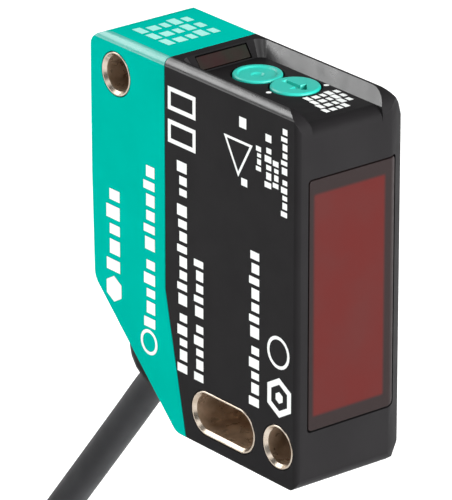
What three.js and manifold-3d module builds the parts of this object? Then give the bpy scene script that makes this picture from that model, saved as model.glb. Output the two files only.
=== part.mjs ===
// Photoelectric sensor for machine mounting, with a fixed cable and a round four-pin plug.
// Millimetres, +Z up.  The beam leaves towards -Y, the cable leaves to the rear and down (+Y, -Z).
// The origin is on the flat +X side face, which sits on the bracket, half way up and 21.75 behind the front.
import * as THREE from "three";
import { mergeVertices } from "three/addons/utils/BufferGeometryUtils.js";
import Module from "manifold-3d";

const wasm = await Module();
wasm.setup();

// ---------------------------------------------------------------- driving dimensions
const WIDTH = 17.8;
const DEPTH = 42.6;
const HEIGHT = 50.6;
const GAP = 0.25; // clearance between pieces that rest on or sit in each other
const FINE_GAP = 0.15; // the same between tight trim pieces

const HALF_W = WIDTH / 2;
const REAR = 20.85; // the rear face, and the front face a full depth in front of it
const FRONT = REAR - DEPTH;
const HALF_H = HEIGHT / 2;

// Outline seen from the side.
const REAR_TAPER = 1.9; // the rear face leans forward by this much over the full height
const FRONT_TOP_ROUND = 3.1;
const FRONT_LOW_ROUND = 2.2;
const REAR_TOP_ROUND = 4;
const SLOPE = { low: [2.5, -HALF_H], high: [19.5, -8.9], lowRound: 3, highRound: 2.4 };
// Split between the black front housing and the green rear cover.
const SPLIT = { straightY: 4.8, bendZ: -6, lowY: 0.6 };

// Outline seen from the front: small rounds on the near side, bevels on the mounting side.
const NEAR_TOP_ROUND = 1;
const NEAR_LOW_ROUND = 0.4;
const BEVEL_TOP = 3;
const BEVEL_TOP_ROUND = 8; // softens the bevel into the mounting side
const BEVEL_LOW = 2.6;
// Outline seen from above.
const NEAR_FRONT_ROUND = 0.9;
const NEAR_REAR_ROUND = 1.2;
const FACET = { wide: 3, deep: 1.5, round: 0.9 };
const REAR_BEVEL = 1.6;

const WALL = 1.4;
const CAVITY = { lowZ: -15.9, topZ: 20.2, frontY: -19.1, rearY: 17.2, rearTopZ: 16.4 };

// Front window.
const WINDOW = { left: -7.1, right: 7, low: -17.15, high: 16.35, thick: 0.9, seam: 0.2, round: 0.5 };
const APERTURE = { halfW: 6.1, low: -15.45, high: 14.95 };
const POLARISER_THICK = 0.5;

// Control trough in the top face.
const TROUGH = { left: -7.6, right: 5.4, floorZ: 23.35, rearTopY: 3.4, rearLowY: 1.9, frontLip: 1.9 };
const TROUGH_DRAFT = 0.9; // the side walls lean outwards by this much over their height
const TROUGH_CORNER = { low: 1, top: 1.5 }; // rounds between the side walls and the rear wall
const CONTROL_Z = 23.6; // top of both round controls
const CONTROL_R = 3.2;
const CONTROL_WELL = { r: 3.45, floorZ: 21.6 };
const TEACH = [-0.1, -2.9];
const MODE = [0.76, -9.3];
const STEM_R = 1.7;
const STEM_HOLE_R = 1.95;
const STEM_LOW_Z = 18.3;
const TEACH_DISC_LOW = 22.45;
const MODE_DISC_LOW = 21.9;
const INDICATOR = { x: -1.1, halfW: 4, length: 1.8, thick: 0.8 };
const LIGHT_GUIDE = { x: 2.1, y: 3.1, r: 0.5, lowZ: 15.2, highZ: 22.7, holeR: 0.7, holeHighZ: 23.6 };

// Metal bushes.
const BUSH = { r: 2.9, bore: 2.35 };
const UPPER_BUSH = [14.8, 20.3];
const LOWER_BUSH = [-17.9, -20.05];
const SHOULDER = 1.5; // wall of the far side that the lower bush stops against
const SLOT_BUSH = { centre: [-6.95, -20.4], length: 12.7, r: 3, bore: 2.45 };

// Cable, gland and plug.
const CABLE_R = 2.225;
const GLAND = { y: 10.8, z: -17.45, reach: 5, r: 7.5, neckR: 4, bore: 2.5, holeR: 4.25, inside: 2.4 };
const GROUND_Z = -66;
// The loose turns open outwards from their centre; the ring is the closed solid round them all.
const TURNS = { x: -18.5, y: 58.2, firstR: 18.5, lastR: 28.25 };
const COIL = { x: -20.1, y: 59.7, inner: 17.2, outer: 29 };
const TAIL_X = TURNS.x - TURNS.lastR;
const PLUG = { bodyEndY: 32.4, bodyLength: 21, bodyR: 5, nutR: 7.3 };

const NUT = { start: PLUG.bodyLength - 2.3, grip: 8.6, length: 15.6, bore: 4.7, threadR: 5.95, flutes: 12 };

// Optics behind the window.
const EMITTER_Z = 7.6;
const RECEIVER_Z = -7.4;
const LENS_R = 5.2;
const CARRIER = { halfW: 6.9, frontY: -18.8, rearY: -13.9, low: -15.4, high: 14.6 };
const OPTICS_BOARD = { halfW: 6.6, frontY: -13.6, rearY: -12.6, low: -15, high: 13.2 };

// Boards and switches.
const MAIN_BOARD = { x0: 4.4, x1: 5.6, y0: -6.8, y1: 12, z0: -9, z1: 12.2 };
const CONTROL_BOARD = { halfW: 6.8, frontY: -12.3, rearY: 3.4, low: 12.7, high: 13.7 };
const PART_LIFT = 0.15; // components sit this far off their board
const SWITCH = { half: 2.9, highZ: 16.9 };

const COLOURS = {
  black: [0x2b2b2d, 0.5, 0],
  green: [0x00a391, 0.5, 0],
  controlGreen: [0x1fb39a, 0.42, 0],
  window: [0x6e1f22, 0.16, 0],
  filter: [0x8a2c2c, 0.3, 0],
  smoked: [0x241a1c, 0.15, 0],
  lens: [0xdfe6ea, 0.08, 0],
  brass: [0xb9ad97, 0.3, 0.9],
  rubber: [0x1a1a1a, 0.8, 0],
  circuit: [0x1d5a35, 0.55, 0],
  chip: [0x151516, 0.5, 0],
  cream: [0xe8e0c8, 0.45, 0],
  steel: [0xb6b8ba, 0.35, 0.9],
  gold: [0xd9b25f, 0.28, 0.95],
  cable: [0x2a2a2c, 0.62, 0],
  brown: [0x6b3a1e, 0.55, 0],
  white: [0xe9e9e6, 0.5, 0],
  blue: [0x2350a8, 0.5, 0],
  nickel: [0xc2c1bc, 0.3, 0.95],
};

// ---------------------------------------------------------------- solids
function solidOf(geometry) {
  const bare = geometry.clone();
  bare.deleteAttribute("normal");
  bare.deleteAttribute("uv");
  const merged = mergeVertices(bare, 1e-4);
  return new wasm.Manifold(
    new wasm.Mesh({
      numProp: 3,
      vertProperties: new Float32Array(merged.attributes.position.array),
      triVerts: new Uint32Array(merged.index.array),
    }),
  );
}

function geometryOf(solid) {
  const mesh = solid.getMesh();
  const stride = mesh.numProp;
  const count = mesh.vertProperties.length / stride;
  const positions = new Float32Array(count * 3);
  for (let i = 0; i < count; i++) {
    for (let k = 0; k < 3; k++) positions[i * 3 + k] = mesh.vertProperties[i * stride + k];
  }
  const geometry = new THREE.BufferGeometry();
  geometry.setAttribute("position", new THREE.BufferAttribute(positions, 3));
  geometry.setIndex(Array.from(mesh.triVerts));
  return geometry;
}

const cut = (first, ...rest) => rest.reduce((left, solid) => left.subtract(solid), first);

// A closed outline from corners [a, b, radius], each corner rounded by its radius.
function rounded(corners, steps = 5) {
  const points = [];
  corners.forEach(([a, b, radius = 0], i) => {
    const corner = new THREE.Vector2(a, b);
    if (!radius) {
      points.push(corner);
      return;
    }
    const before = corners[(i + corners.length - 1) % corners.length];
    const after = corners[(i + 1) % corners.length];
    const back = new THREE.Vector2(before[0], before[1]).sub(corner).normalize();
    const ahead = new THREE.Vector2(after[0], after[1]).sub(corner).normalize();
    const half = Math.acos(THREE.MathUtils.clamp(back.dot(ahead), -1, 1)) / 2;
    const middle = back.clone().add(ahead).normalize();
    const centre = corner.clone().add(middle.multiplyScalar(radius / Math.sin(half)));
    const start = corner.clone().add(back.multiplyScalar(radius / Math.tan(half))).sub(centre);
    const end = corner.clone().add(ahead.multiplyScalar(radius / Math.tan(half))).sub(centre);
    let turn = end.angle() - start.angle();
    if (turn > Math.PI) turn -= 2 * Math.PI;
    if (turn < -Math.PI) turn += 2 * Math.PI;
    for (let k = 0; k <= steps; k++) {
      const angle = start.angle() + (turn * k) / steps;
      points.push(new THREE.Vector2(Math.cos(angle), Math.sin(angle)).multiplyScalar(radius).add(centre));
    }
  });
  return points;
}

const extruded = (points, length) =>
  new THREE.ExtrudeGeometry(new THREE.Shape(points), { depth: length, bevelEnabled: false });

// An outline in (y, z) pushed along X, in (x, z) pushed along Y, or in (x, y) pushed along Z.
function alongX(corners, from, to, steps) {
  const basis = new THREE.Matrix4().set(0, 0, 1, from, 1, 0, 0, 0, 0, 1, 0, 0, 0, 0, 0, 1);
  return solidOf(extruded(rounded(corners, steps), to - from).applyMatrix4(basis));
}
function alongY(corners, from, to, steps) {
  const basis = new THREE.Matrix4().set(1, 0, 0, 0, 0, 0, -1, to, 0, 1, 0, 0, 0, 0, 0, 1);
  return solidOf(extruded(rounded(corners, steps), to - from).applyMatrix4(basis));
}
function alongZ(corners, from, to, steps) {
  return solidOf(extruded(rounded(corners, steps), to - from).translate(0, 0, from));
}

// The solid between two convex outlines in (x, y), which have as many corners, at two heights.
function lofted(low, lowZ, high, highZ) {
  const count = low.length;
  const sum = (points) => points.reduce((total, point) => total.add(point), new THREE.Vector2());
  const centre = (points) => sum(points).divideScalar(count);
  const at = (point, z) => [point.x, point.y, z];
  const places = [
    ...low.map((point) => at(point, lowZ)),
    ...high.map((point) => at(point, highZ)),
    at(centre(low), lowZ),
    at(centre(high), highZ),
  ];
  const faces = low.flatMap((_, i) => {
    const next = (i + 1) % count;
    const side = [i, next, next + count, i, next + count, i + count];
    return [...side, 2 * count, next, i, 2 * count + 1, i + count, next + count];
  });
  const geometry = new THREE.BufferGeometry();
  geometry.setAttribute("position", new THREE.BufferAttribute(new Float32Array(places.flat()), 3));
  geometry.setIndex(faces);
  return solidOf(geometry);
}

const rectangle = (a0, a1, b0, b1, radius = 0) => [
  [a0, b0, radius],
  [a1, b0, radius],
  [a1, b1, radius],
  [a0, b1, radius],
];
const box = (x0, x1, y0, y1, z0, z1) => {
  const centre = [(x0 + x1) / 2, (y0 + y1) / 2, (z0 + z1) / 2];
  return solidOf(new THREE.BoxGeometry(x1 - x0, y1 - y0, z1 - z0).translate(...centre));
};

// A turned body: profile [radius, distance] turned round the line from `at` along `direction`.
function turned(profile, at, direction, segments = 24) {
  const points = profile.map(([radius, distance]) => new THREE.Vector2(radius, distance));
  const spin = new THREE.Quaternion().setFromUnitVectors(
    new THREE.Vector3(0, 1, 0),
    new THREE.Vector3(...direction).normalize(),
  );
  return solidOf(
    new THREE.LatheGeometry(points, segments).applyQuaternion(spin).translate(...at),
  );
}
const rod = (radius, at, direction, length, segments) =>
  turned([[0, 0], [radius, 0], [radius, length], [0, length]], at, direction, segments);
const ring = (inner, outer, at, direction, length, segments) =>
  turned(
    [[inner, 0], [outer, 0], [outer, length], [inner, length], [inner, 0]],
    at, direction, segments,
  );

// A round tube along a smooth line through the points.
function tube(points, radius, steps, sides) {
  const places = points.map((point) => new THREE.Vector3(...point));
  const line = new THREE.CatmullRomCurve3(places, false, "centripetal");
  const circle = Array.from({ length: sides }, (_, i) => {
    const angle = (2 * Math.PI * i) / sides;
    return new THREE.Vector2(radius * Math.cos(angle), radius * Math.sin(angle));
  });
  return solidOf(
    new THREE.ExtrudeGeometry(new THREE.Shape(circle), { steps, bevelEnabled: false, extrudePath: line }),
  );
}

const root = new THREE.Group();
root.name = "photoelectric_sensor";

function add(name, solid, colour) {
  const [hex, roughness, metalness] = COLOURS[colour];
  const geometry = geometryOf(solid).translate(-HALF_W, 0, 0);
  geometry.computeVertexNormals();
  const mesh = new THREE.Mesh(geometry, new THREE.MeshStandardMaterial({ color: hex, roughness, metalness }));
  mesh.name = name;
  root.add(mesh);
}

// ---------------------------------------------------------------- the outer shape
const rearAt = (z) => REAR - (REAR_TAPER * (HALF_H - z)) / HEIGHT;

const sideOutline = [
  [FRONT, -HALF_H, FRONT_LOW_ROUND],
  [SLOPE.low[0], SLOPE.low[1], SLOPE.lowRound],
  [rearAt(SLOPE.high[1]), SLOPE.high[1], SLOPE.highRound],
  [REAR, HALF_H, REAR_TOP_ROUND],
  [FRONT, HALF_H, FRONT_TOP_ROUND],
];
const frontOutline = [
  [-HALF_W, -HALF_H, NEAR_LOW_ROUND],
  [HALF_W - BEVEL_LOW, -HALF_H, 0.8],
  [HALF_W, -HALF_H + BEVEL_LOW, 0.8],
  [HALF_W, HALF_H - BEVEL_TOP, BEVEL_TOP_ROUND],
  [HALF_W - BEVEL_TOP, HALF_H, 0.8],
  [-HALF_W, HALF_H, NEAR_TOP_ROUND],
];
const planOutline = [
  [-HALF_W, FRONT, NEAR_FRONT_ROUND],
  [HALF_W - FACET.wide, FRONT],
  [HALF_W, FRONT + FACET.deep, FACET.round],
  [HALF_W, REAR - REAR_BEVEL, 0.6],
  [HALF_W - REAR_BEVEL, REAR, 0.6],
  [-HALF_W, REAR, NEAR_REAR_ROUND],
];
const OVER = 2; // cutters run past the faces they cut by this much
const outer = alongX(sideOutline, -HALF_W, HALF_W, 6)
  .intersect(alongY(frontOutline, FRONT - OVER, REAR + OVER, 3))
  .intersect(alongZ(planOutline, -HALF_H - OVER, HALF_H + OVER, 4));

// The cable leaves square to the sloping face, along slopeOut.
const slopeRise = SLOPE.high[1] - SLOPE.low[1];
const slopeRun = SLOPE.high[0] - SLOPE.low[0];
const slopeLength = Math.hypot(slopeRun, slopeRise);
const slopeOut = [0, slopeRise / slopeLength, -slopeRun / slopeLength];
const glandAt = (along) => [0, GLAND.y + slopeOut[1] * along, GLAND.z + slopeOut[2] * along];

// Everything in front of, or behind, the split line between the two housing halves.
const splitRegion = (shift, farY) => [
  [farY, -HALF_H - OVER],
  [SPLIT.lowY + shift, -HALF_H - OVER],
  [SPLIT.lowY + shift, -HALF_H],
  [SPLIT.straightY + shift, SPLIT.bendZ],
  [SPLIT.straightY + shift, HALF_H + OVER],
  [farY, HALF_H + OVER],
];
const beforeSplit = alongX(splitRegion(-FINE_GAP / 2, FRONT - OVER), -HALF_W - OVER, HALF_W + OVER);
const behindSplit = alongX(splitRegion(FINE_GAP / 2, REAR + OVER).reverse(), -HALF_W - OVER, HALF_W + OVER);

// ---------------------------------------------------------------- bushes
const across = [1, 0, 0];
const bushHole = ([y, z], radius, farX = HALF_W + OVER) =>
  rod(radius, [-HALF_W - OVER, y, z], across, farX + HALF_W + OVER, 32);
const slotHole = (radius) => {
  const half = SLOT_BUSH.length / 2 - SLOT_BUSH.r + radius;
  const [y, z] = SLOT_BUSH.centre;
  const endRound = radius - 0.001; // a hair under the half height keeps the corners apart
  const corners = rectangle(y - half, y + half, z - radius, z + radius, endRound);
  return alongX(corners, -HALF_W - OVER, HALF_W + OVER, 8);
};
const bushSeatR = BUSH.r + FINE_GAP;

// ---------------------------------------------------------------- front housing
const windowCorners = (grow) =>
  rectangle(WINDOW.left - grow, WINDOW.right + grow, WINDOW.low - grow, WINDOW.high + grow, WINDOW.round);
const windowRecess = alongY(windowCorners(WINDOW.seam), FRONT - OVER, FRONT + WINDOW.thick + GAP, 3);
const windowOpening = alongY(
  rectangle(-APERTURE.halfW, APERTURE.halfW, APERTURE.low, APERTURE.high, 0.6),
  FRONT - OVER, CAVITY.frontY + OVER, 3,
);
const frontCavity = box(
  -HALF_W + WALL, HALF_W - WALL, CAVITY.frontY, SPLIT.straightY + OVER, CAVITY.lowZ, CAVITY.topZ,
);
// The trough seen from above, its rear corners rounded; the front runs out past the front face.
const troughPlan = (inset, rearY, cornerR) => rounded([
  [TROUGH.left + inset, FRONT - OVER],
  [TROUGH.right - inset, FRONT - OVER],
  [TROUGH.right - inset, rearY, cornerR],
  [TROUGH.left + inset, rearY, cornerR],
], 6);
const troughFloorPlan = troughPlan(TROUGH_DRAFT, TROUGH.rearLowY, TROUGH_CORNER.low);
const troughTopPlan = troughPlan(0, TROUGH.rearTopY, TROUGH_CORNER.top);
const growPastTop = OVER / (HALF_H - TROUGH.floorZ);
const troughCutPlan = troughTopPlan.map((point, i) =>
  point.clone().add(point.clone().sub(troughFloorPlan[i]).multiplyScalar(growPastTop)));
const troughBelow = TROUGH.floorZ - FRONT_TOP_ROUND;
const lipFloor = alongX(
  [
    [FRONT - OVER, troughBelow],
    [FRONT, troughBelow],
    [FRONT, TROUGH.floorZ, TROUGH.frontLip],
    [TROUGH.rearTopY + OVER, TROUGH.floorZ],
    [TROUGH.rearTopY + OVER, HALF_H + OVER],
    [FRONT - OVER, HALF_H + OVER],
  ],
  TROUGH.left - OVER, TROUGH.right + OVER, 5,
);
const trough = lofted(troughFloorPlan, TROUGH.floorZ, troughCutPlan, HALF_H + OVER)
  .add(lofted(troughFloorPlan, troughBelow, troughFloorPlan, TROUGH.floorZ))
  .intersect(lipFloor);
const up = [0, 0, 1];
const controlWell = ([x, y]) => rod(CONTROL_WELL.r, [x, y, CONTROL_WELL.floorZ], up, 6, 28);
const stemHole = ([x, y]) => rod(STEM_HOLE_R, [x, y, CAVITY.topZ - 1], up, 4, 20);

// The indicator window lies in the sloping rear wall of the trough.
const wallSlope = new THREE.Vector2(TROUGH.rearTopY - TROUGH.rearLowY, HALF_H - TROUGH.floorZ).normalize();
const wallMiddle = [(TROUGH.rearTopY + TROUGH.rearLowY) / 2, (HALF_H + TROUGH.floorZ) / 2];
const onWall = (along, deep) => [
  wallMiddle[0] + wallSlope.x * along + wallSlope.y * deep,
  wallMiddle[1] + wallSlope.y * along - wallSlope.x * deep,
];
const wallPlate = (half, from, to, halfW) => alongX(
  [onWall(-half, to), onWall(half, to), onWall(half, from), onWall(-half, from)],
  INDICATOR.x - halfW, INDICATOR.x + halfW,
);
const guideXs = [INDICATOR.x - LIGHT_GUIDE.x, INDICATOR.x + LIGHT_GUIDE.x];
const guideHole = (x) => {
  const low = CAVITY.topZ - 1;
  return rod(LIGHT_GUIDE.holeR, [x, LIGHT_GUIDE.y, low], up, LIGHT_GUIDE.holeHighZ - low, 16);
};

const frontHousing = cut(
  outer.intersect(beforeSplit),
  frontCavity,
  windowRecess,
  windowOpening,
  trough,
  controlWell(TEACH),
  controlWell(MODE),
  stemHole(TEACH),
  stemHole(MODE),
  wallPlate(INDICATOR.length / 2 + FINE_GAP, -OVER, INDICATOR.thick + GAP, INDICATOR.halfW + FINE_GAP),
  ...guideXs.map(guideHole),
  bushHole(LOWER_BUSH, bushSeatR, HALF_W - SHOULDER),
  bushHole(LOWER_BUSH, BUSH.bore),
  slotHole(SLOT_BUSH.r + FINE_GAP),
);
add("front_housing", frontHousing, "black");

// ---------------------------------------------------------------- rear cover
const rearCavity = alongX(
  [
    [SPLIT.straightY - OVER, CAVITY.lowZ + 4.5],
    [6.4, CAVITY.lowZ + 0.4],
    [7.6, CAVITY.lowZ - 1.6],
    [8.6, CAVITY.lowZ - 1.4],
    [CAVITY.rearY, -8.9],
    [CAVITY.rearY, CAVITY.rearTopZ],
    [10.6, CAVITY.rearTopZ],
    [10.6, HALF_H - WALL],
    [SPLIT.straightY - OVER, HALF_H - WALL],
  ],
  -HALF_W + WALL, HALF_W - WALL,
).intersect(alongY([
  [-HALF_W + WALL, -HALF_H],
  [HALF_W - WALL, -HALF_H],
  [HALF_W - WALL, HALF_H - BEVEL_TOP - WALL],
  [HALF_W - BEVEL_TOP - WALL, HALF_H - WALL],
  [-HALF_W + WALL, HALF_H - WALL],
], FRONT, REAR));
const rearCover = cut(
  outer.intersect(behindSplit),
  rearCavity,
  rod(GLAND.holeR, glandAt(-8), slopeOut, 16, 28),
  bushHole(UPPER_BUSH, bushSeatR),
);
add("rear_cover", rearCover, "green");

// Seal strip behind the split between the two halves: over the top and down both side walls.
const sealBand = (inset) => alongX(
  rectangle(SPLIT.straightY - 1, SPLIT.straightY + 1, CAVITY.lowZ + 5 + inset, CAVITY.topZ - GAP - inset, 0),
  -HALF_W + WALL + GAP + inset, HALF_W - WALL - GAP - inset,
);
add("housing_seal", cut(sealBand(0), alongX(
  rectangle(SPLIT.straightY - 2, SPLIT.straightY + 2, CAVITY.lowZ, CAVITY.topZ - GAP - 0.8),
  -HALF_W + WALL + GAP + 0.8, HALF_W - WALL - GAP - 0.8,
)), "rubber");

// ---------------------------------------------------------------- metal bushes
const roundBush = (centre, farX) =>
  cut(bushHole(centre, BUSH.r, farX), bushHole(centre, BUSH.bore)).intersect(outer);
add("upper_bush", roundBush(UPPER_BUSH), "brass");
add("lower_bush", roundBush(LOWER_BUSH, HALF_W - SHOULDER - FINE_GAP), "brass");
add("slot_bush", cut(slotHole(SLOT_BUSH.r), slotHole(SLOT_BUSH.bore)).intersect(outer), "brass");

// ---------------------------------------------------------------- window and optics
add("front_window", alongY(windowCorners(0), FRONT, FRONT + WINDOW.thick, 3).intersect(outer), "window");
const polariserY = FRONT + WINDOW.thick + 0.3;
add("polariser_plate", box(
  FINE_GAP - APERTURE.halfW, APERTURE.halfW - FINE_GAP,
  polariserY, polariserY + POLARISER_THICK,
  APERTURE.low + FINE_GAP, APERTURE.high - FINE_GAP,
), "filter");

const lookBack = [0, 1, 0];
const lensBore = (z, radius, from, to) => rod(radius, [0, from, z], lookBack, to - from, 28);
add("optics_carrier", cut(
  box(-CARRIER.halfW, CARRIER.halfW, CARRIER.frontY, CARRIER.rearY, CARRIER.low, CARRIER.high),
  ...[EMITTER_Z, RECEIVER_Z].flatMap((z) => [
    lensBore(z, LENS_R + FINE_GAP, CARRIER.frontY - 1, CARRIER.frontY + 4),
    lensBore(z, LENS_R - 0.8, CARRIER.frontY + 3, CARRIER.rearY + 1),
  ]),
), "black");
const lensProfile = [[0, 0], [2, 0.15], [3.6, 0.55], [LENS_R, 1.4], [LENS_R, 3.4], [0, 3.4]];
for (const [name, z] of [["emitter_lens", EMITTER_Z], ["receiver_lens", RECEIVER_Z]]) {
  add(name, turned(lensProfile, [0, CARRIER.frontY + 0.3, z], lookBack, 28), "lens");
}
const board = OPTICS_BOARD;
add("optics_board", box(
  -board.halfW, board.halfW,
  board.frontY, board.rearY,
  board.low, board.high,
), "circuit");
const onOpticsBoard = (z, halfX, halfZ, thick) => {
  const backY = board.frontY - PART_LIFT;
  return box(-halfX, halfX, backY - thick, backY, z - halfZ, z + halfZ);
};
add("emitter_diode", onOpticsBoard(EMITTER_Z, 1.2, 1.2, 0.9), "cream");
add("receiver_chip", onOpticsBoard(RECEIVER_Z, 2, 1.6, 1), "chip");

// ---------------------------------------------------------------- boards and electronics
add("main_board", box(...Object.values(MAIN_BOARD)), "circuit");
const mainBoardFace = MAIN_BOARD.x0 - PART_LIFT;
const onMainBoard = (y, z, halfY, halfZ, thick) =>
  box(mainBoardFace - thick, mainBoardFace, y - halfY, y + halfY, z - halfZ, z + halfZ);
add("controller_chip", onMainBoard(-1.6, 5, 3.5, 3.5, 1), "chip");
add("driver_chip", onMainBoard(-2.2, -4, 2.5, 2, 1.5), "chip");
const inductor = { r: 2, thick: 2.2, y: 7.4, z: 8.4 };
add("power_inductor", rod(
  inductor.r, [mainBoardFace - inductor.thick, inductor.y, inductor.z], across, inductor.thick, 20,
), "chip");

add("control_board", box(
  -CONTROL_BOARD.halfW, CONTROL_BOARD.halfW,
  CONTROL_BOARD.frontY, CONTROL_BOARD.rearY,
  CONTROL_BOARD.low, CONTROL_BOARD.high,
), "circuit");

// ---------------------------------------------------------------- teach button and mode knob
const switchLow = CONTROL_BOARD.high + PART_LIFT;
const switchBlock = ([x, y]) =>
  box(x - SWITCH.half, x + SWITCH.half, y - SWITCH.half, y + SWITCH.half, switchLow, SWITCH.highZ);
const plunger = { r: 1.3, lowZ: 16.1, length: 1.9, holeR: 1.6, holeLowZ: 14.9 };
const plungerHole = rod(plunger.holeR, [...TEACH, plunger.holeLowZ], up, 4, 20);
add("teach_switch", cut(switchBlock(TEACH), plungerHole), "chip");
add("teach_plunger", rod(plunger.r, [...TEACH, plunger.lowZ], up, plunger.length, 20), "cream");
add("teach_button", turned([
  [0, STEM_LOW_Z],
  [STEM_R, STEM_LOW_Z],
  [STEM_R, TEACH_DISC_LOW],
  [CONTROL_R, TEACH_DISC_LOW],
  [CONTROL_R, CONTROL_Z - 0.15],
  [CONTROL_R - 0.15, CONTROL_Z],
  [CONTROL_R - 0.6, CONTROL_Z],
  [CONTROL_R - 0.75, CONTROL_Z - 0.25],
  [0.9, CONTROL_Z - 0.25],
  [0.7, CONTROL_Z - 0.5],
  [0, CONTROL_Z - 0.5],
], [...TEACH, 0], up, 32), "controlGreen");

const rotor = { r: 2, lowZ: 15.6, length: 2.4, slotHalf: 0.3, slotLowZ: 17.4, holeR: 2.3, holeLowZ: 15.2 };
add("mode_switch", cut(switchBlock(MODE), rod(rotor.holeR, [...MODE, rotor.holeLowZ], up, 4, 24)), "chip");
const rotorSlot = box(
  MODE[0] - rotor.slotHalf, MODE[0] + rotor.slotHalf,
  MODE[1] - 3, MODE[1] + 3,
  rotor.slotLowZ, CONTROL_Z,
);
add("mode_rotor", cut(rod(rotor.r, [...MODE, rotor.lowZ], up, rotor.length, 24), rotorSlot), "cream");
// An arrow sunk in the top of the knob: a straight tail with a head at the front end.
const arrow = { tailHalf: 0.38, headHalf: 1.4, tailY: 2.2, neckY: -0.5, tipY: -2.3, deep: 0.55 };
const arrowOutline = [
  [-arrow.tailHalf, arrow.tailY],
  [-arrow.tailHalf, arrow.neckY],
  [-arrow.headHalf, arrow.neckY],
  [0, arrow.tipY],
  [arrow.headHalf, arrow.neckY],
  [arrow.tailHalf, arrow.neckY],
  [arrow.tailHalf, arrow.tailY],
].map(([x, y]) => [MODE[0] + x, MODE[1] + y]);
const arrowSlot = alongZ(arrowOutline, CONTROL_Z - arrow.deep, CONTROL_Z + OVER);
add("mode_knob", cut(turned([
  [0, STEM_LOW_Z],
  [STEM_R, STEM_LOW_Z],
  [STEM_R, MODE_DISC_LOW],
  [CONTROL_R, MODE_DISC_LOW],
  [CONTROL_R, CONTROL_Z - 0.2],
  [CONTROL_R - 0.2, CONTROL_Z],
  [0, CONTROL_Z],
], [...MODE, 0], up, 32), arrowSlot), "controlGreen");
for (const [name, centre] of [["button_seal", TEACH], ["knob_seal", MODE]]) {
  add(name, ring(STEM_R + 0.2, 2.9, [...centre, CAVITY.topZ - 1.1], up, 0.9, 20), "rubber");
}

// ---------------------------------------------------------------- indicators
add("indicator_window", wallPlate(INDICATOR.length / 2, 0.05, INDICATOR.thick, INDICATOR.halfW), "smoked");
guideXs.forEach((x, i) => {
  const name = ["power", "signal"][i];
  const guideLength = LIGHT_GUIDE.highZ - LIGHT_GUIDE.lowZ;
  const lampHighZ = LIGHT_GUIDE.lowZ - 0.3;
  const { y } = LIGHT_GUIDE;
  add(`${name}_light_guide`, rod(LIGHT_GUIDE.r, [x, y, LIGHT_GUIDE.lowZ], up, guideLength, 12), "lens");
  add(`${name}_lamp`, box(x - 0.8, x + 0.8, y - 0.6, y + 0.2, switchLow, lampHighZ), "cream");
});

// ---------------------------------------------------------------- gland, cable and inner conductors
add("cable_gland", turned([
  [GLAND.bore, -GLAND.inside],
  [GLAND.neckR, -GLAND.inside],
  [GLAND.neckR, FINE_GAP],
  [GLAND.r, FINE_GAP],
  [GLAND.r, GLAND.reach - 2.4],
  [GLAND.r - 0.3, GLAND.reach - 1.5],
  [GLAND.r - 1.1, GLAND.reach - 0.8],
  [GLAND.r - 2.3, GLAND.reach - 0.3],
  [GLAND.r - 3.7, GLAND.reach],
  [GLAND.bore, GLAND.reach],
  [GLAND.bore, -GLAND.inside],
], glandAt(0), slopeOut, 28), "black");
add("cable_ferrule", ring(CABLE_R + GAP, CABLE_R + 1, glandAt(-5.4), slopeOut, 2.4, 24), "steel");

const COIL_Z = GROUND_Z + CABLE_R;
const lead = [
  glandAt(-7),
  glandAt(-2),
  glandAt(3),
  glandAt(7),
  [0, 18.3, -25.4],
  [0, 24.6, -33.2],
  [0, 30.8, -40.9],
  [0, 37.1, -48.7],
  [0, 40.5, -52.9],
  [0, 43.8, -56.9],
  [0, 47.8, -60.6],
  [0, 52.8, -63],
  [0, TURNS.y, COIL_Z],
];
// The ring has bevelled edges, and the lead and the tail stop on its rim.
const coilEdge = 0.7;
const coilRing = turned(
  [
    [COIL.inner, coilEdge - CABLE_R],
    [COIL.inner + coilEdge, -CABLE_R],
    [COIL.outer - coilEdge, -CABLE_R],
    [COIL.outer, coilEdge - CABLE_R],
    [COIL.outer, CABLE_R - coilEdge],
    [COIL.outer - coilEdge, CABLE_R],
    [COIL.inner + coilEdge, CABLE_R],
    [COIL.inner, CABLE_R - coilEdge],
    [COIL.inner, coilEdge - CABLE_R],
  ],
  [COIL.x, COIL.y, COIL_Z], up, 32,
);
const coilKeepOut = rod(COIL.outer + GAP, [COIL.x, COIL.y, GROUND_Z - 1], up, 2 * CABLE_R + 1 + GAP, 32);
add("cable_lead", cut(tube(lead, CABLE_R, 26, 10), coilKeepOut), "cable");
add("cable_coil", coilRing, "cable");

const conductorTurns = [[0.85, 0.85], [-0.85, 0.85], [0.85, -0.85], [-0.85, -0.85]];
const conductorColours = ["brown", "white", "blue", "black"];
const glandSide = [0, -slopeOut[2], slopeOut[1]];
conductorTurns.forEach(([side, high], i) => {
  const start = glandAt(-7.3).map((value, k) => value + glandSide[k] * high + (k === 0 ? side : 0));
  const inward = start.map((value, k) => value - slopeOut[k] * 1.5);
  const padZ = -5.6 + i * 2.4;
  add(`conductor_${i + 1}`, tube([
    start,
    inward,
    [1.6 + side * 0.5, 5.2 + high * 0.6 + i * 0.5, padZ - 0.4],
    [MAIN_BOARD.x0 - GAP, 3 + i * 1.5, padZ],
  ], 0.42, 9, 6), conductorColours[i]);
});

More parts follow.
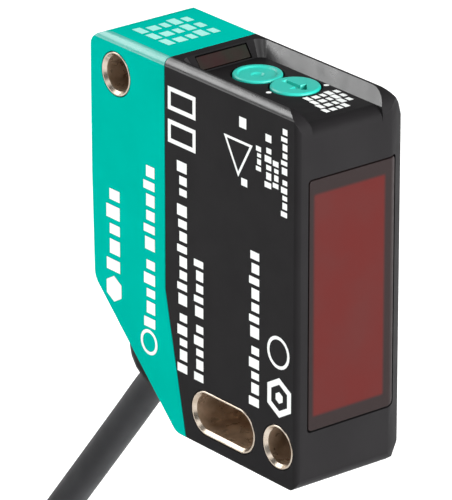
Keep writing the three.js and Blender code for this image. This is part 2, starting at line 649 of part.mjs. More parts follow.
// ---------------------------------------------------------------- tail and plug on the ground
const forward = [0, -1, 0];
const PLUG_Z = GROUND_Z + PLUG.nutR;
const tail = [
  [TAIL_X, TURNS.y, COIL_Z],
  [TAIL_X, 54.4, COIL_Z],
  [TAIL_X, 49.6, COIL_Z + 0.55],
  [TAIL_X, 44.8, COIL_Z + 2.55],
  [TAIL_X, 39.8, COIL_Z + 4.5],
  [TAIL_X, 35.2, PLUG_Z],
  [TAIL_X, PLUG.bodyEndY + GAP, PLUG_Z],
];
add("cable_tail", cut(tube(tail, CABLE_R, 10, 10), coilKeepOut), "cable");
const plugAt = (forwardBy) => [TAIL_X, PLUG.bodyEndY - forwardBy, PLUG_Z];
add("plug_body", turned([
  [0, 0],
  [3.4, 0],
  [4.1, 4.5],
  [PLUG.bodyR, 6],
  [PLUG.bodyR + 0.3, PLUG.bodyLength - 3],
  [4.4, PLUG.bodyLength - 2.7],
  [4.4, PLUG.bodyLength + 8],
  [0, PLUG.bodyLength + 8],
], plugAt(0), forward, 24), "black");
const nutGrip = turned([
  [NUT.bore, NUT.start],
  [PLUG.nutR - 0.5, NUT.start],
  [PLUG.nutR, NUT.start + 0.5],
  [PLUG.nutR, NUT.start + NUT.grip - 0.5],
  [PLUG.nutR - 0.5, NUT.start + NUT.grip],
  [NUT.threadR - 0.5, NUT.start + NUT.grip],
  [NUT.threadR - 0.5, NUT.start + NUT.grip + 1],
  [NUT.threadR, NUT.start + NUT.grip + 1.4],
  [NUT.threadR, NUT.start + NUT.length - 0.5],
  [NUT.threadR - 0.5, NUT.start + NUT.length],
  [NUT.bore, NUT.start + NUT.length],
  [NUT.bore, NUT.start],
], plugAt(0), forward, 36);
const fluteCuts = Array.from({ length: NUT.flutes }, (_, i) => {
  const angle = (2 * Math.PI * (i + 0.5)) / NUT.flutes;
  const reach = PLUG.nutR + 0.5;
  const [x, y, z] = plugAt(NUT.start - 1);
  return rod(0.9, [x + reach * Math.cos(angle), y, z + reach * Math.sin(angle)], forward, NUT.grip + 2, 8);
});
add("coupling_nut", cut(nutGrip, ...fluteCuts), "nickel");
const insertStart = PLUG.bodyLength + 8.2;
const insertY = PLUG.bodyEndY - insertStart;
const keyWay = box(TAIL_X - 0.5, TAIL_X + 0.5, insertY - 3, insertY + 1, PLUG_Z + 3.5, PLUG_Z + 6);
add("plug_insert", cut(rod(4.2, plugAt(insertStart), forward, 2, 24), keyWay), "black");
[45, 135, 225, 315].forEach((degrees, i) => {
  const angle = THREE.MathUtils.degToRad(degrees);
  const [x, y, z] = plugAt(insertStart + 2.15);
  add(`plug_pin_${i + 1}`, turned([
    [0, 0],
    [0.5, 0],
    [0.5, 2.6],
    [0.3, 3],
    [0, 3],
  ], [x + 2.2 * Math.cos(angle), y, z + 2.2 * Math.sin(angle)], forward, 10), "gold");
});

export default root;
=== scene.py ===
"""Studio picture of a photoelectric sensor with its cable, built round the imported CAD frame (metres)."""
import math

import bmesh
import bpy
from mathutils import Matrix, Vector


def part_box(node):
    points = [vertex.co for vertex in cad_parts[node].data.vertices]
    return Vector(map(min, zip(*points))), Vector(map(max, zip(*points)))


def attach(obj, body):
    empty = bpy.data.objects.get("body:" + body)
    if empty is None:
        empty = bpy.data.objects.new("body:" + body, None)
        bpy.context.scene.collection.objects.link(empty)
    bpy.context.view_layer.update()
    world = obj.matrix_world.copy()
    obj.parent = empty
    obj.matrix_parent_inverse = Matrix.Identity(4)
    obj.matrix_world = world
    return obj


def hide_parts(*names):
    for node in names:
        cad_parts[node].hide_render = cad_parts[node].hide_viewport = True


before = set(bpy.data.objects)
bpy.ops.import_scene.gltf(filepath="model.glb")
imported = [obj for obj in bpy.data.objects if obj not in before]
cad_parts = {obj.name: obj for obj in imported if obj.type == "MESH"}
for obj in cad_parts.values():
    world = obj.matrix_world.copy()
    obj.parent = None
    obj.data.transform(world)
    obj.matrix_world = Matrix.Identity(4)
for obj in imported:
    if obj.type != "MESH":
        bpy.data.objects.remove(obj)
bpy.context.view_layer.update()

MM = 0.001
HOUSING = ("front_housing", "rear_cover")


def mm(*values):
    """A point or vector given in millimetres, in metres."""
    return Vector(values) * MM


# ---------------------------------------------------------------- places taken from the frame
def joined_box(names):
    lows, highs = zip(*(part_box(name) for name in names))
    low = Vector(min(p[k] for p in lows) for k in range(3))
    high = Vector(max(p[k] for p in highs) for k in range(3))
    return low, high


BODY_LOW, BODY_HIGH = joined_box(HOUSING)
BODY_CENTRE = (BODY_LOW + BODY_HIGH) / 2
LABEL_X = BODY_LOW.x
TOP_Z = BODY_HIGH.z
GROUND_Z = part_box("cable_coil")[0][2]


# ---------------------------------------------------------------- camera
CAMERA_AZIMUTH = math.radians(-38.64)
CAMERA_ELEVATION = math.radians(22.05)
CAMERA_DISTANCE = 0.68887
CAMERA_SIDEWAYS = -2.558 * MM  # where the camera aims, beside and below the middle of the housing
CAMERA_UPWARDS = -1.058 * MM
CAMERA_LENS = 390.3  # focal length (mm)
FILM_WIDTH = 36  # (mm)
CLIP_NEAR, CLIP_FAR = 0.01, 10


def make_camera():
    azimuth, elevation = CAMERA_AZIMUTH, CAMERA_ELEVATION
    back = Vector((
        math.sin(azimuth) * math.cos(elevation),
        -math.cos(azimuth) * math.cos(elevation),
        math.sin(elevation),
    ))
    right = Vector((math.cos(azimuth), math.sin(azimuth), 0))
    up = back.cross(right)
    target = BODY_CENTRE + right * CAMERA_SIDEWAYS + up * CAMERA_UPWARDS
    data = bpy.data.cameras.new("camera")
    data.lens = CAMERA_LENS
    data.sensor_width = FILM_WIDTH
    data.clip_start = CLIP_NEAR
    data.clip_end = CLIP_FAR
    camera = bpy.data.objects.new("camera", data)
    bpy.context.collection.objects.link(camera)
    camera.location = target + back * CAMERA_DISTANCE
    camera.rotation_mode = "QUATERNION"
    camera.rotation_quaternion = (-back).to_track_quat("-Z", "Y")
    bpy.context.scene.camera = camera


make_camera()


# ---------------------------------------------------------------- materials
NOISE_LOW, NOISE_HIGH = 0.3, 0.7  # nearly all of a noise texture's values lie between these
GRAIN_HEIGHT = 0.02 * MM
SCRATCH_SCALE = 900


def linear(r, g, b):
    """A screen colour (0 to 255) as the linear colour that shaders take."""
    def channel(value):
        value /= 255
        return value / 12.92 if value <= 0.04045 else ((value + 0.055) / 1.055) ** 2.4
    return (channel(r), channel(g), channel(b), 1)


def new_material(name, **inputs):
    """A node material whose Principled shader has these inputs set."""
    material = bpy.data.materials.new(name)
    material.use_nodes = True
    shader = material.node_tree.nodes["Principled BSDF"]
    for key, value in inputs.items():
        shader.inputs[key.replace("_", " ")].default_value = value
    return material, material.node_tree, shader


def noise(tree, scale, detail=2.0, roughness=0.5):
    coordinates = tree.nodes.new("ShaderNodeTexCoord")
    texture = tree.nodes.new("ShaderNodeTexNoise")
    texture.inputs["Scale"].default_value = scale
    texture.inputs["Detail"].default_value = detail
    texture.inputs["Roughness"].default_value = roughness
    tree.links.new(coordinates.outputs["Object"], texture.inputs["Vector"])
    return texture.outputs["Fac"]


def spread(tree, value, low, high):
    """A noise value mapped onto low to high."""
    node = tree.nodes.new("ShaderNodeMapRange")
    node.inputs["From Min"].default_value = NOISE_LOW
    node.inputs["From Max"].default_value = NOISE_HIGH
    node.inputs["To Min"].default_value = low
    node.inputs["To Max"].default_value = high
    tree.links.new(value, node.inputs["Value"])
    return node.outputs["Result"]


def blend_colours(tree, factor, first, second):
    node = tree.nodes.new("ShaderNodeMix")
    node.data_type = "RGBA"
    node.inputs["A"].default_value = first
    node.inputs["B"].default_value = second
    tree.links.new(factor, node.inputs["Factor"])
    return node.outputs["Result"]


def add_bump(tree, shader, height, strength, distance):
    bump = tree.nodes.new("ShaderNodeBump")
    bump.inputs["Strength"].default_value = strength
    bump.inputs["Distance"].default_value = distance
    tree.links.new(height, bump.inputs["Height"])
    tree.links.new(bump.outputs["Normal"], shader.inputs["Normal"])


def moulded_plastic(name, colour, lighter, roughness, grain=2600, grain_depth=0.35, specular=0.5):
    """Injection-moulded plastic: fine spark-eroded grain, faint cloudy colour and uneven gloss."""
    material, tree, shader = new_material(name)
    shader.inputs["Specular IOR Level"].default_value = specular
    clouds = spread(tree, noise(tree, 130, 3), 0, 1)
    tree.links.new(blend_colours(tree, clouds, colour, lighter), shader.inputs["Base Color"])
    gloss = spread(tree, noise(tree, 420, 4), roughness - 0.05, roughness + 0.05)
    tree.links.new(gloss, shader.inputs["Roughness"])
    add_bump(tree, shader, noise(tree, grain, 3, 0.6), grain_depth, GRAIN_HEIGHT)
    return material


def metal(name, colour, tint, roughness, metallic=1.0):
    """Plated turned metal: faint stains and fine turning marks."""
    material, tree, shader = new_material(name, Metallic=metallic)
    stains = spread(tree, noise(tree, 500, 4), 0, 1)
    tree.links.new(blend_colours(tree, stains, colour, tint), shader.inputs["Base Color"])
    gloss = spread(tree, noise(tree, 700, 3), roughness * 0.7, roughness * 1.3)
    tree.links.new(gloss, shader.inputs["Roughness"])
    add_bump(tree, shader, noise(tree, SCRATCH_SCALE, 5, 0.7), 0.25, GRAIN_HEIGHT)
    return material


BLACK = moulded_plastic("black_plastic", linear(26, 25, 26), linear(29, 28, 29), 0.45, specular=0.05)
# A glossier copy of the black for the trough walls and the near top edge; its lighter colour is a painted
# highlight.
SATIN_BLACK_PAINTED_HIGHLIGHT = moulded_plastic("satin_black_painted_highlight", linear(33, 32, 33), linear(38, 37, 38), 0.3, specular=0.9)
GREEN = moulded_plastic("green_plastic", linear(0, 169, 153), linear(0, 174, 158), 0.5, specular=0.0)
# A glossier copy of the green for the near top edge; its lighter, less saturated colour is a painted
# highlight.
SATIN_GREEN_PAINTED_HIGHLIGHT = moulded_plastic("satin_green_painted_highlight", linear(70, 168, 156), linear(80, 174, 162), 0.3, specular=0.75)
CONTROL_GREEN = moulded_plastic("control_green", linear(30, 178, 162), linear(44, 186, 170), 0.36, grain=1800)
RUBBER = moulded_plastic("seal_rubber", linear(24, 24, 24), linear(34, 34, 34), 0.75, grain=1500)
CABLE_JACKET = moulded_plastic(
    "cable_jacket", linear(38, 38, 40), linear(46, 46, 48), 0.58, grain=1900, grain_depth=0.5, specular=0.2,
)
CIRCUIT = moulded_plastic("circuit_board", linear(20, 84, 46), linear(32, 104, 58), 0.4)
CHIP = moulded_plastic("chip_plastic", linear(18, 18, 19), linear(30, 30, 31), 0.5)
FILTER_RED = moulded_plastic("filter_sheet", linear(120, 40, 40), linear(132, 50, 48), 0.3)
CREAM = moulded_plastic("cream_plastic", linear(222, 212, 186), linear(234, 226, 204), 0.45)
BUSH_METAL = metal("bush_metal", (0.52, 0.46, 0.39, 1), (0.38, 0.31, 0.24, 1), 0.26)
BORE_METAL = metal("bush_bore", (0.6, 0.45, 0.32, 1), (0.28, 0.19, 0.12, 1), 0.32, metallic=0.6)
STEEL = metal("steel", (0.62, 0.62, 0.62, 1), (0.5, 0.5, 0.5, 1), 0.35)
NICKEL = metal("nickel", (0.72, 0.7, 0.66, 1), (0.6, 0.58, 0.55, 1), 0.22)
GOLD = metal("contact_gold", (0.83, 0.62, 0.27, 1), (0.7, 0.5, 0.2, 1), 0.25)
INK = moulded_plastic("white_ink", linear(226, 230, 228), linear(240, 242, 240), 0.5, grain=3000)
PALE_INK = moulded_plastic("pale_green_ink", linear(150, 222, 210), linear(166, 230, 219), 0.5, grain=3000)
CONDUCTOR_COLOURS = {
    "conductor_1": ((92, 52, 30), (112, 66, 40)),
    "conductor_2": ((222, 222, 218), (236, 236, 232)),
    "conductor_3": ((30, 70, 160), (44, 88, 180)),
    "conductor_4": ((28, 28, 29), (40, 40, 41)),
}


def clear_plastic(name):
    material, tree, shader = new_material(name, Transmission_Weight=1.0, IOR=1.49)
    shader.inputs["Base Color"].default_value = (0.93, 0.95, 0.96, 1)
    tree.links.new(spread(tree, noise(tree, 300, 2), 0.02, 0.06), shader.inputs["Roughness"])
    return material


CLEAR = clear_plastic("clear_plastic")


def rectangle_mask(tree, centre, half, soft, axes):
    """1 inside a rectangle of the object's space and 0 outside it, fading over the soft distance."""
    coordinates = tree.nodes.new("ShaderNodeTexCoord")
    split = tree.nodes.new("ShaderNodeSeparateXYZ")
    tree.links.new(coordinates.outputs["Object"], split.inputs["Vector"])
    sides = []
    for axis, middle, reach in zip(axes, centre, half):
        offset = tree.nodes.new("ShaderNodeMath")
        offset.operation = "SUBTRACT"
        offset.inputs[1].default_value = middle
        tree.links.new(split.outputs[axis], offset.inputs[0])
        size = tree.nodes.new("ShaderNodeMath")
        size.operation = "ABSOLUTE"
        tree.links.new(offset.outputs[0], size.inputs[0])
        fade = tree.nodes.new("ShaderNodeMapRange")
        fade.interpolation_type = "SMOOTHSTEP"
        fade.inputs["From Min"].default_value = reach
        fade.inputs["From Max"].default_value = reach - soft
        tree.links.new(size.outputs[0], fade.inputs["Value"])
        sides.append(fade.outputs["Result"])
    both = tree.nodes.new("ShaderNodeMath")
    both.operation = "MULTIPLY"
    tree.links.new(sides[0], both.inputs[0])
    tree.links.new(sides[1], both.inputs[1])
    return both.outputs[0]


BRIGHT_SHIFT = -0.7 * MM  # the bright part of the window, measured from the middle of the optics
BRIGHT_HALF = mm(5.95, 15.1)
BRIGHT_SOFT = 0.6 * MM


def window_material():
    """Dark red filter plastic: bright over the optics, nearly black round the edge and on the far side."""
    low, high = (Vector(p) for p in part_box("optics_carrier"))
    material, tree, shader = new_material("red_filter", Specular_IOR_Level=0.1)
    centre = ((low.x + high.x) / 2 + BRIGHT_SHIFT, (low.z + high.z) / 2)
    mask = rectangle_mask(tree, centre, BRIGHT_HALF, BRIGHT_SOFT, ("X", "Z"))
    clouds = spread(tree, noise(tree, 160, 2), 0, 1)
    red = blend_colours(tree, clouds, (0.062, 0.006, 0.005, 1), (0.057, 0.009, 0.008, 1))
    window = tree.nodes.new("ShaderNodeMix")
    window.data_type = "RGBA"
    window.inputs["A"].default_value = (0.014, 0.009, 0.009, 1)
    tree.links.new(mask, window.inputs["Factor"])
    tree.links.new(red, window.inputs["B"])
    tree.links.new(window.outputs["Result"], shader.inputs["Base Color"])
    tree.links.new(spread(tree, noise(tree, 900, 3), 0.3, 0.42), shader.inputs["Roughness"])
    return material


def smoked_material_painted_reflections():
    """Nearly black smoked plastic, with painted reflections that tint it reddish in places and greenish in
    others.
    """
    material, tree, shader = new_material("smoked_plastic_painted_reflections")
    clouds = spread(tree, noise(tree, 260, 2), 0, 1)
    # The reddish and greenish tints are painted reflections, not the plastic's own colour.
    colour = blend_colours(tree, clouds, linear(40, 24, 24), linear(30, 34, 28))
    tree.links.new(colour, shader.inputs["Base Color"])
    tree.links.new(spread(tree, noise(tree, 700, 2), 0.12, 0.2), shader.inputs["Roughness"])
    return material


WINDOW_RED = window_material()
SMOKED_PAINTED_REFLECTIONS = smoked_material_painted_reflections()


# ---------------------------------------------------------------- mesh helpers
def piece(name, mesh, material, body):
    """A new object that rides on a CAD body."""
    obj = bpy.data.objects.new(name, mesh)
    bpy.context.collection.objects.link(obj)
    mesh.materials.clear()
    mesh.materials.append(material)
    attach(obj, body)
    return obj


def apply_modifiers(obj):
    graph = bpy.context.evaluated_depsgraph_get()
    mesh = bpy.data.meshes.new_from_object(obj.evaluated_get(graph))
    obj.modifiers.clear()
    obj.data = mesh


def smooth(mesh, degrees=32):
    mesh.shade_smooth()
    mesh.set_sharp_from_angle(angle=math.radians(degrees))


SAME_PLACE = 0.002 * MM
SAME_PLANE = math.radians(0.6)
BEVEL_SEGMENTS = 2
BEVEL_ANGLE = math.radians(34)


def refined(node, name, material, body, edge):
    """The CAD node's shape with its flat facets joined, its edges eased and its rounds shaded smooth."""
    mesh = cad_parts[node].data.copy()
    mesh.transform(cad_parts[node].matrix_world)
    mesh.name = name
    work = bmesh.new()
    work.from_mesh(mesh)
    bmesh.ops.remove_doubles(work, verts=work.verts, dist=SAME_PLACE)
    bmesh.ops.dissolve_limit(
        work, angle_limit=SAME_PLANE, verts=work.verts, edges=work.edges, delimit={"NORMAL"},
    )
    work.to_mesh(mesh)
    work.free()
    obj = piece(name, mesh, material, body)
    bevel = obj.modifiers.new("edges", "BEVEL")
    bevel.width = edge * MM
    bevel.segments = BEVEL_SEGMENTS
    bevel.limit_method = "ANGLE"
    bevel.angle_limit = BEVEL_ANGLE
    bevel.use_clamp_overlap = True
    bevel.harden_normals = False
    apply_modifiers(obj)
    smooth(obj.data)
    weighted = obj.modifiers.new("shading", "WEIGHTED_NORMAL")
    weighted.keep_sharp = True
    apply_modifiers(obj)
    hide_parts(node)
    return obj


# ---------------------------------------------------------------- bushes with a thin lip and a funnel mouth
BUSH_STEPS = 64
BUSH_WALL = 0.55 * MM
BUSH_SHARP = 28
LIP = 0.2 * MM
FUNNEL = 0.4 * MM
EASE = 0.04 * MM
PROFILE_SIZE = 7
BORE_BAND = 4  # the stretch of the profile that lines the hole
BEYOND = 0.05  # a place past the far side, to look back from


def far_end(node, y, z, default):
    """Where a CAD bush ends on the far side, because the housing's bevels trim it."""
    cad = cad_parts[node]
    into_cad = cad.matrix_world.inverted()
    start = into_cad @ Vector((BEYOND, y, z))
    found, place, _, _ = cad.ray_cast(start, into_cad.to_3x3() @ Vector((-1, 0, 0)))
    return (cad.matrix_world @ place).x if found else default


def bush_mesh(name, node):
    """A liner with a rounded hole: its profile swept round the circle, or round the slot."""
    low, high = (Vector(p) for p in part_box(node))
    outer = (high.z - low.z) / 2
    straight = (high.y - low.y) - 2 * outer
    centre_y, centre_z = (low.y + high.y) / 2, (low.z + high.z) / 2
    mouth, bore = outer - LIP, outer - BUSH_WALL
    middle_r = (outer + bore) / 2
    work = bmesh.new()
    rings = []
    for step in range(BUSH_STEPS):
        angle = 2 * math.pi * (step + 0.5) / BUSH_STEPS
        middle_y = centre_y + math.copysign(straight / 2, math.cos(angle))
        across, up = math.cos(angle), math.sin(angle)
        far_x = far_end(node, middle_y + middle_r * across, centre_z + middle_r * up, high.x)
        profile = [
            (outer, far_x), (outer, low.x + EASE), (outer - EASE, low.x), (mouth, low.x),
            (bore, low.x + FUNNEL), (bore, far_x - FUNNEL), (mouth, far_x),
        ]
        rings.append([work.verts.new((x, middle_y + r * across, centre_z + r * up)) for r, x in profile])
    for step, ring in enumerate(rings):
        following = rings[(step + 1) % BUSH_STEPS]
        for k in range(PROFILE_SIZE):
            j = (k + 1) % PROFILE_SIZE
            work.faces.new((ring[k], ring[j], following[j], following[k]))
    bmesh.ops.recalc_face_normals(work, faces=work.faces)
    mesh = bpy.data.meshes.new(name)
    work.to_mesh(mesh)
    work.free()
    smooth(mesh, BUSH_SHARP)
    return mesh


for node in ("upper_bush", "lower_bush", "slot_bush"):
    liner = node.replace("_bush", "_liner")
    obj = piece(liner, bush_mesh(liner, node), BUSH_METAL, "sensor")
    obj.data.materials.append(BORE_METAL)
    for number, face in enumerate(obj.data.polygons):
        face.material_index = int(number % PROFILE_SIZE == BORE_BAND)
    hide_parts(node)


# ---------------------------------------------------------------- cable, repeated from the CAD route
CABLE_DIAMETER = 4.45 * MM
SLOPE_OUT = Vector((0, 16.4, -17.0)).normalized()
GLAND_FOOT = Vector((BODY_CENTRE.x, 10.8 * MM, -17.45 * MM))
COIL_CLEARANCE = 0.1 * MM
COIL_Z = GROUND_Z + CABLE_DIAMETER / 2 + COIL_CLEARANCE
TURNS_X, TURNS_Y = -18.5, 58.2
FIRST_RADIUS, LAST_RADIUS = 18.5, 28.25
COIL_TURNS = 1.5
POINTS_PER_TURN = 20
GLAND_STEPS = (3, 5, 7)  # places along the gland's axis (mm)
LEAD_POINTS = [  # y, z (mm)
    (18.3, -25.4), (24.6, -33.2), (30.8, -40.9), (37.1, -48.7), (40.5, -52.9),
    (43.8, -56.9), (47.8, -60.6), (52.8, -63.0),
]
TAIL_POINTS = [(54.4, 0), (49.6, 0.55), (44.8, 2.55), (39.8, 4.5)]  # y, lift above the coil (mm)
TAIL_LEVEL_Y = 35.2  # from here the tail runs straight into the plug (mm)


def gland_at(along):
    return GLAND_FOOT + SLOPE_OUT * along * MM


def cable_route():
    plug_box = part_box("plug_body")
    plug_z = (plug_box[0][2] + plug_box[1][2]) / 2
    points = [gland_at(along) for along in GLAND_STEPS]
    points += [Vector((BODY_CENTRE.x, y * MM, z * MM)) for y, z in LEAD_POINTS]
    centre = Vector((BODY_CENTRE.x + TURNS_X * MM, TURNS_Y * MM, COIL_Z))
    steps = int(COIL_TURNS * POINTS_PER_TURN)
    for step in range(steps + 1):
        share = step / steps
        angle = 2 * math.pi * COIL_TURNS * share
        radius = (FIRST_RADIUS + (LAST_RADIUS - FIRST_RADIUS) * share) * MM
        points.append(centre + Vector((radius * math.cos(angle), radius * math.sin(angle), 0)))
    tail_x = points[-1].x
    points += [Vector((tail_x, y * MM, COIL_Z + lift * MM)) for y, lift in TAIL_POINTS]
    points += [Vector((tail_x, y, plug_z)) for y in (TAIL_LEVEL_Y * MM, plug_box[1][1] + 0.1 * MM)]
    return points


def make_cable():
    curve = bpy.data.curves.new("cable", "CURVE")
    curve.dimensions = "3D"
    curve.bevel_depth = CABLE_DIAMETER / 2
    curve.bevel_resolution = 6
    curve.resolution_u = 6
    curve.use_fill_caps = True
    points = cable_route()
    spline = curve.splines.new("BEZIER")
    spline.bezier_points.add(len(points) - 1)
    for point, place in zip(spline.bezier_points, points):
        point.co = place
        point.handle_left_type = "AUTO"
        point.handle_right_type = "AUTO"
    curve.materials.append(CABLE_JACKET)
    cable = bpy.data.objects.new("cable", curve)
    bpy.context.collection.objects.link(cable)
    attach(cable, "sensor")
    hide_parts("cable_lead", "cable_coil", "cable_tail")


# ---------------------------------------------------------------- pieces refined from the CAD nodes
REFINED = [
    ("front_housing", "housing_front", BLACK, "black_plastic", 0.1),
    ("rear_cover", "housing_rear", GREEN, "green_plastic", 0.1),
    ("front_window", "window_pane", WINDOW_RED, "red_window", 0.12),
    ("indicator_window", "indicator_pane", SMOKED_PAINTED_REFLECTIONS, "smoked_window", 0.1),
    ("cable_gland", "gland", BLACK, "black_plastic", 0.1),
    ("plug_body", "moulded_plug", BLACK, "black_plastic", 0.2),
    ("plug_insert", "plug_insert_disc", CHIP, "chip_plastic", 0.1),
]
for node, name, material, slot_name, edge in REFINED:
    refined(node, name, material, "sensor", edge)
refined("teach_button", "teach_cap", CONTROL_GREEN, "teach_control", 0.08)
refined("mode_knob", "mode_cap", CONTROL_GREEN, "mode_control", 0.06)
refined("coupling_nut", "coupling_nut_ring", NICKEL, "plug_nut", 0.12)
make_cable()

CARRIED = {
    "housing_seal": RUBBER, "button_seal": RUBBER, "knob_seal": RUBBER,
    "optics_carrier": BLACK, "emitter_lens": CLEAR, "receiver_lens": CLEAR,
    "power_light_guide": CLEAR, "signal_light_guide": CLEAR,
    "optics_board": CIRCUIT, "main_board": CIRCUIT, "control_board": CIRCUIT,
    "emitter_diode": CREAM, "receiver_chip": CHIP, "controller_chip": CHIP, "driver_chip": CHIP,
    "power_inductor": CHIP, "teach_switch": CHIP, "mode_switch": CHIP,
    "teach_plunger": CREAM, "mode_rotor": CREAM, "power_lamp": CREAM, "signal_lamp": CREAM,
    "cable_ferrule": STEEL, "polariser_plate": FILTER_RED,
    "plug_pin_1": GOLD, "plug_pin_2": GOLD, "plug_pin_3": GOLD, "plug_pin_4": GOLD,
}


def set_material(obj, material):
    obj.data.materials.clear()
    obj.data.materials.append(material)


for node, material in CARRIED.items():
    set_material(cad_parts[node], material)
for node, (dark, light) in CONDUCTOR_COLOURS.items():
    insulation = moulded_plastic(f"{node}_insulation", linear(*dark), linear(*light), 0.45)
    set_material(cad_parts[node], insulation)


# ---------------------------------------------------------------- smoother faces of the housing, lighter in colour as a painted highlight
MID_X = BODY_CENTRE.x
TROUGH_FLOOR_Z = 23.35 * MM
TROUGH_REAR_Y = 4.6 * MM
TOP_EDGE_Z = 20 * MM  # the sloping edges above this are the top ones


def polish_with_painted_highlight(obj, material, chosen):
    """Give the faces that chosen(centre, normal) picks a smoother finish than the rest, and a lighter colour
    that is a painted highlight.
    """
    obj.data.materials.append(material)
    for face in obj.data.polygons:
        if chosen(face.center, face.normal):
            face.material_index = 1


def near_top_edge(centre, normal):
    return centre.z > TOP_EDGE_Z and normal.x < -0.2 and normal.z > 0.2


def trough_wall(centre, normal):
    inside = centre.z > TROUGH_FLOOR_Z + 0.15 * MM and centre.y < TROUGH_REAR_Y
    return inside and abs(normal.x) > 0.25 and normal.x > -0.99


def front_highlighted(centre, normal):
    return trough_wall(centre, normal) or near_top_edge(centre, normal)


polish_with_painted_highlight(bpy.data.objects["housing_front"], SATIN_BLACK_PAINTED_HIGHLIGHT, front_highlighted)
polish_with_painted_highlight(bpy.data.objects["housing_rear"], SATIN_GREEN_PAINTED_HIGHLIGHT, near_top_edge)


# ---------------------------------------------------------------- printing, all of it plain marks
PRINT_LIFT = 0.025 * MM
CELL_WIDTHS = (0.58, 0.72, 0.5, 0.66, 0.54, 0.76, 0.48)  # shares of the line's height
CELL_TOPS = (1.0, 0.76, 0.76, 1.0, 0.76, 0.88)
WORD_LENGTHS = (5, 8, 4, 7)
CELL_GAP, WORD_GAP = 0.26, 0.35  # shares of the line's height too
RING_SIDES, DOT_SIDES = 24, 12


def cells(start, end, base, top):
    """Boxes (from, to, low, high) in words along a line, standing in for a line of small print."""
    height = top - base
    found, place, number, in_word, word = [], start, 0, 0, 0
    while True:
        width = height * CELL_WIDTHS[number % len(CELL_WIDTHS)]
        if place + width > end:
            return found
        found.append((place, place + width, base, base + height * CELL_TOPS[number % len(CELL_TOPS)]))
        place += width + CELL_GAP * height
        number += 1
        in_word += 1
        if in_word == WORD_LENGTHS[word % len(WORD_LENGTHS)]:
            place += WORD_GAP * height
            in_word, word = 0, word + 1


def box_outline(box):
    along_0, along_1, across_0, across_1 = box
    return [(along_0, across_0), (along_1, across_0), (along_1, across_1), (along_0, across_1)]


def box_frame(box, thick):
    """An outlined box as four bars."""
    along_0, along_1, across_0, across_1 = box
    bars = [
        (along_0, along_0 + thick, across_0, across_1),
        (along_1 - thick, along_1, across_0, across_1),
        (along_0 + thick, along_1 - thick, across_0, across_0 + thick),
        (along_0 + thick, along_1 - thick, across_1 - thick, across_1),
    ]
    return [box_outline(bar) for bar in bars]


def frame_shapes(sides, centre, radius, thick, turn):
    """An outlined regular shape as a band of four-cornered faces."""
    def corner(number, reach):
        angle = 2 * math.pi * number / sides + turn
        return (centre[0] + reach * math.cos(angle), centre[1] + reach * math.sin(angle))
    return [
        [corner(n, radius - thick), corner(n, radius), corner(n + 1, radius), corner(n + 1, radius - thick)]
        for n in range(sides)
    ]


def filled_shape(sides, centre, radius):
    steps = [2 * math.pi * number / sides for number in range(sides)]
    return [[(centre[0] + radius * math.cos(a), centre[1] + radius * math.sin(a)) for a in steps]]


def print_piece(name, shapes, place, outward, material):
    """Flat ink with no thickness: shapes in two face coordinates, put in space by place()."""
    mesh = bpy.data.meshes.new(name)
    work = bmesh.new()
    for shape in shapes:
        corners = [work.verts.new(place(*point)) for point in shape]
        face = work.faces.new(corners)
        face.normal_update()
        if face.normal.dot(outward) < 0:
            face.normal_flip()
    work.to_mesh(mesh)
    work.free()
    piece(name, mesh, material, "sensor")


def on_side(z, y):
    return Vector((LABEL_X - PRINT_LIFT, y * MM, z * MM))


def on_top(x, y):
    return Vector((MID_X + x * MM, y * MM, TOP_Z + PRINT_LIFT))


def on_trough_floor(x, y):
    return Vector((MID_X + x * MM, y * MM, TROUGH_FLOOR_Z + PRINT_LIFT))


# Side lines: from z, to z, base y, top y (mm).
SIDE_LINES = [
    (-6.9, 6.8, 14.2, 17.0),
    (-12.3, 10.0, 6.9, 9.2),
    (-16.3, 12.6, 0.3, 2.3),
    (-16.4, 0.4, -3.0, -1.1),
    (-16.0, 6.8, -14.2, -12.2),
    (14.2, 21.5, -16.5, -15.2),
    (14.6, 18.7, -17.9, -16.8),
    (11.3, 23.2, -19.6, -18.4),
    (15.9, 19.9, -14.5, -13.5),
]
TOP_LINES = [(-5.6, 4.2, y, y + 2.1) for y in (8.2, 10.9, 13.6)]
FLOOR_LINES = [
    (-1.2, 4.3, -14.3, -13.0),
    (-1.4, 4.1, -15.8, -14.5),
    (-1.7, 3.6, -17.3, -16.0),
    (-2.1, 2.4, -18.8, -17.6),
]
FLOOR_DOTS = [(-3.15, -8.85), (4.1, -11.3)]  # clear of the knob's well
FLOOR_DOT_RADIUS = 0.36


def line_shapes(lines):
    return [box_outline(cell) for line in lines for cell in cells(*line)]


# Plain marks on the side, in the same two coordinates: z, y (mm).
SOLID_HEXAGONS = [((-9.35, 15.5), 1.8), ((-13.2, -18.2), 0.8)]
OUTLINES = [  # sides, centre, radius, thickness, turn
    (RING_SIDES, (-14.4, 8.2), 1.75, 0.45, 0),
    (RING_SIDES, (-7.15, -18.0), 2.2, 0.45, 0),
    (3, (17.2, -10.0), 3.3, 0.7, math.pi),
    (6, (-13.2, -18.2), 2.7, 0.9, 0),
]
OPEN_BOX_THICK = 0.6
OPEN_BOXES = [(18.8, 21.9, -1.5, 4.1), (14.4, 17.5, -1.5, 4.1)]
SOLID_BOXES = [(20.6, 22.0, -11.6, -10.2), (13.0, 14.0, -11.8, -10.6)]

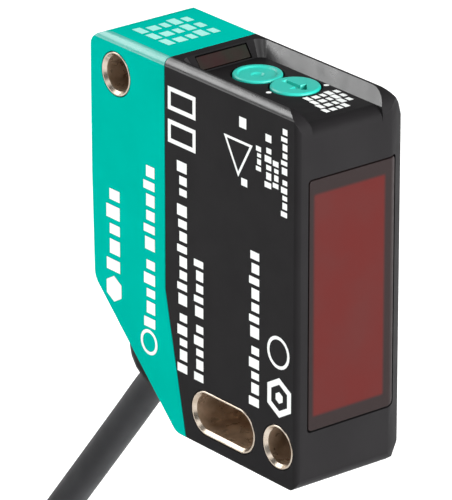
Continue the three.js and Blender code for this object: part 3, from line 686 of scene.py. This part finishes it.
side_marks = line_shapes(SIDE_LINES)
for centre, radius in SOLID_HEXAGONS:
    side_marks += filled_shape(6, centre, radius)
for outline in OUTLINES:
    side_marks += frame_shapes(*outline)
for box in OPEN_BOXES:
    side_marks += box_frame(box, OPEN_BOX_THICK)
side_marks += [box_outline(box) for box in SOLID_BOXES]
print_piece("side_print", side_marks, on_side, Vector((-1, 0, 0)), INK)
print_piece("top_print", line_shapes(TOP_LINES), on_top, Vector((0, 0, 1)), PALE_INK)
floor_marks = line_shapes(FLOOR_LINES)
for dot in FLOOR_DOTS:
    floor_marks += filled_shape(DOT_SIDES, dot, FLOOR_DOT_RADIUS)
print_piece("trough_print", floor_marks, on_trough_floor, Vector((0, 0, 1)), INK)


# ---------------------------------------------------------------- stage and light
WORLD_STRENGTH = 0.2
FLOOR_GLOW = 0.25
FLOOR_DROP = 0.2 * MM  # keeps the floor just clear of the cable


def make_floor():
    mesh = bpy.data.meshes.new("floor")
    work = bmesh.new()
    bmesh.ops.create_grid(work, x_segments=8, y_segments=8, size=2.0)
    work.to_mesh(mesh)
    work.free()
    material, tree, shader = new_material("floor")
    shader.inputs["Roughness"].default_value = 0.9
    clouds = spread(tree, noise(tree, 3, 2), 0, 1)
    colour = blend_colours(tree, clouds, (0.93, 0.93, 0.93, 1), (0.95, 0.95, 0.95, 1))
    tree.links.new(colour, shader.inputs["Base Color"])
    tree.links.new(colour, shader.inputs["Emission Color"])
    shader.inputs["Emission Strength"].default_value = FLOOR_GLOW
    mesh.materials.append(material)
    floor = bpy.data.objects.new("floor", mesh)
    floor.location = (0, 0, GROUND_Z - FLOOR_DROP)
    bpy.context.collection.objects.link(floor)


# Each softbox: direction from the housing, distance (m), side (m), radiance.
SOFTBOXES = {
    "rear_softbox": ((-0.45, 0.75, 0.48), 0.8, 0.55, 5.0),
    "top_softbox": ((0.1, 0.73, 0.68), 0.8, 0.3, 3.0),
    "front_softbox": ((0.12, -0.9, 0.3), 0.9, 0.6, 17.0),
    "left_softbox": ((-0.78, -0.24, 0.58), 0.8, 0.35, 2.0),
}


def area_light(name, direction, distance, side, radiance):
    """A soft square light aimed at the housing; its energy gives the radiance seen in a mirror."""
    place = Vector(direction).normalized() * distance
    data = bpy.data.lights.new(name, "AREA")
    data.shape = "SQUARE"
    data.size = side
    data.energy = radiance * math.pi * side * side
    light = bpy.data.objects.new(name, data)
    light.location = BODY_CENTRE + place
    light.rotation_mode = "QUATERNION"
    light.rotation_quaternion = (-place).to_track_quat("-Z", "Y")
    bpy.context.collection.objects.link(light)


def make_light():
    world = bpy.data.worlds.new("studio")
    world.use_nodes = True
    background = world.node_tree.nodes["Background"]
    background.inputs["Color"].default_value = (1, 1, 1, 1)
    background.inputs["Strength"].default_value = WORLD_STRENGTH
    bpy.context.scene.world = world
    for name, settings in SOFTBOXES.items():
        area_light(name, *settings)


make_floor()
make_light()
bpy.context.scene.view_settings.view_transform = "Standard"
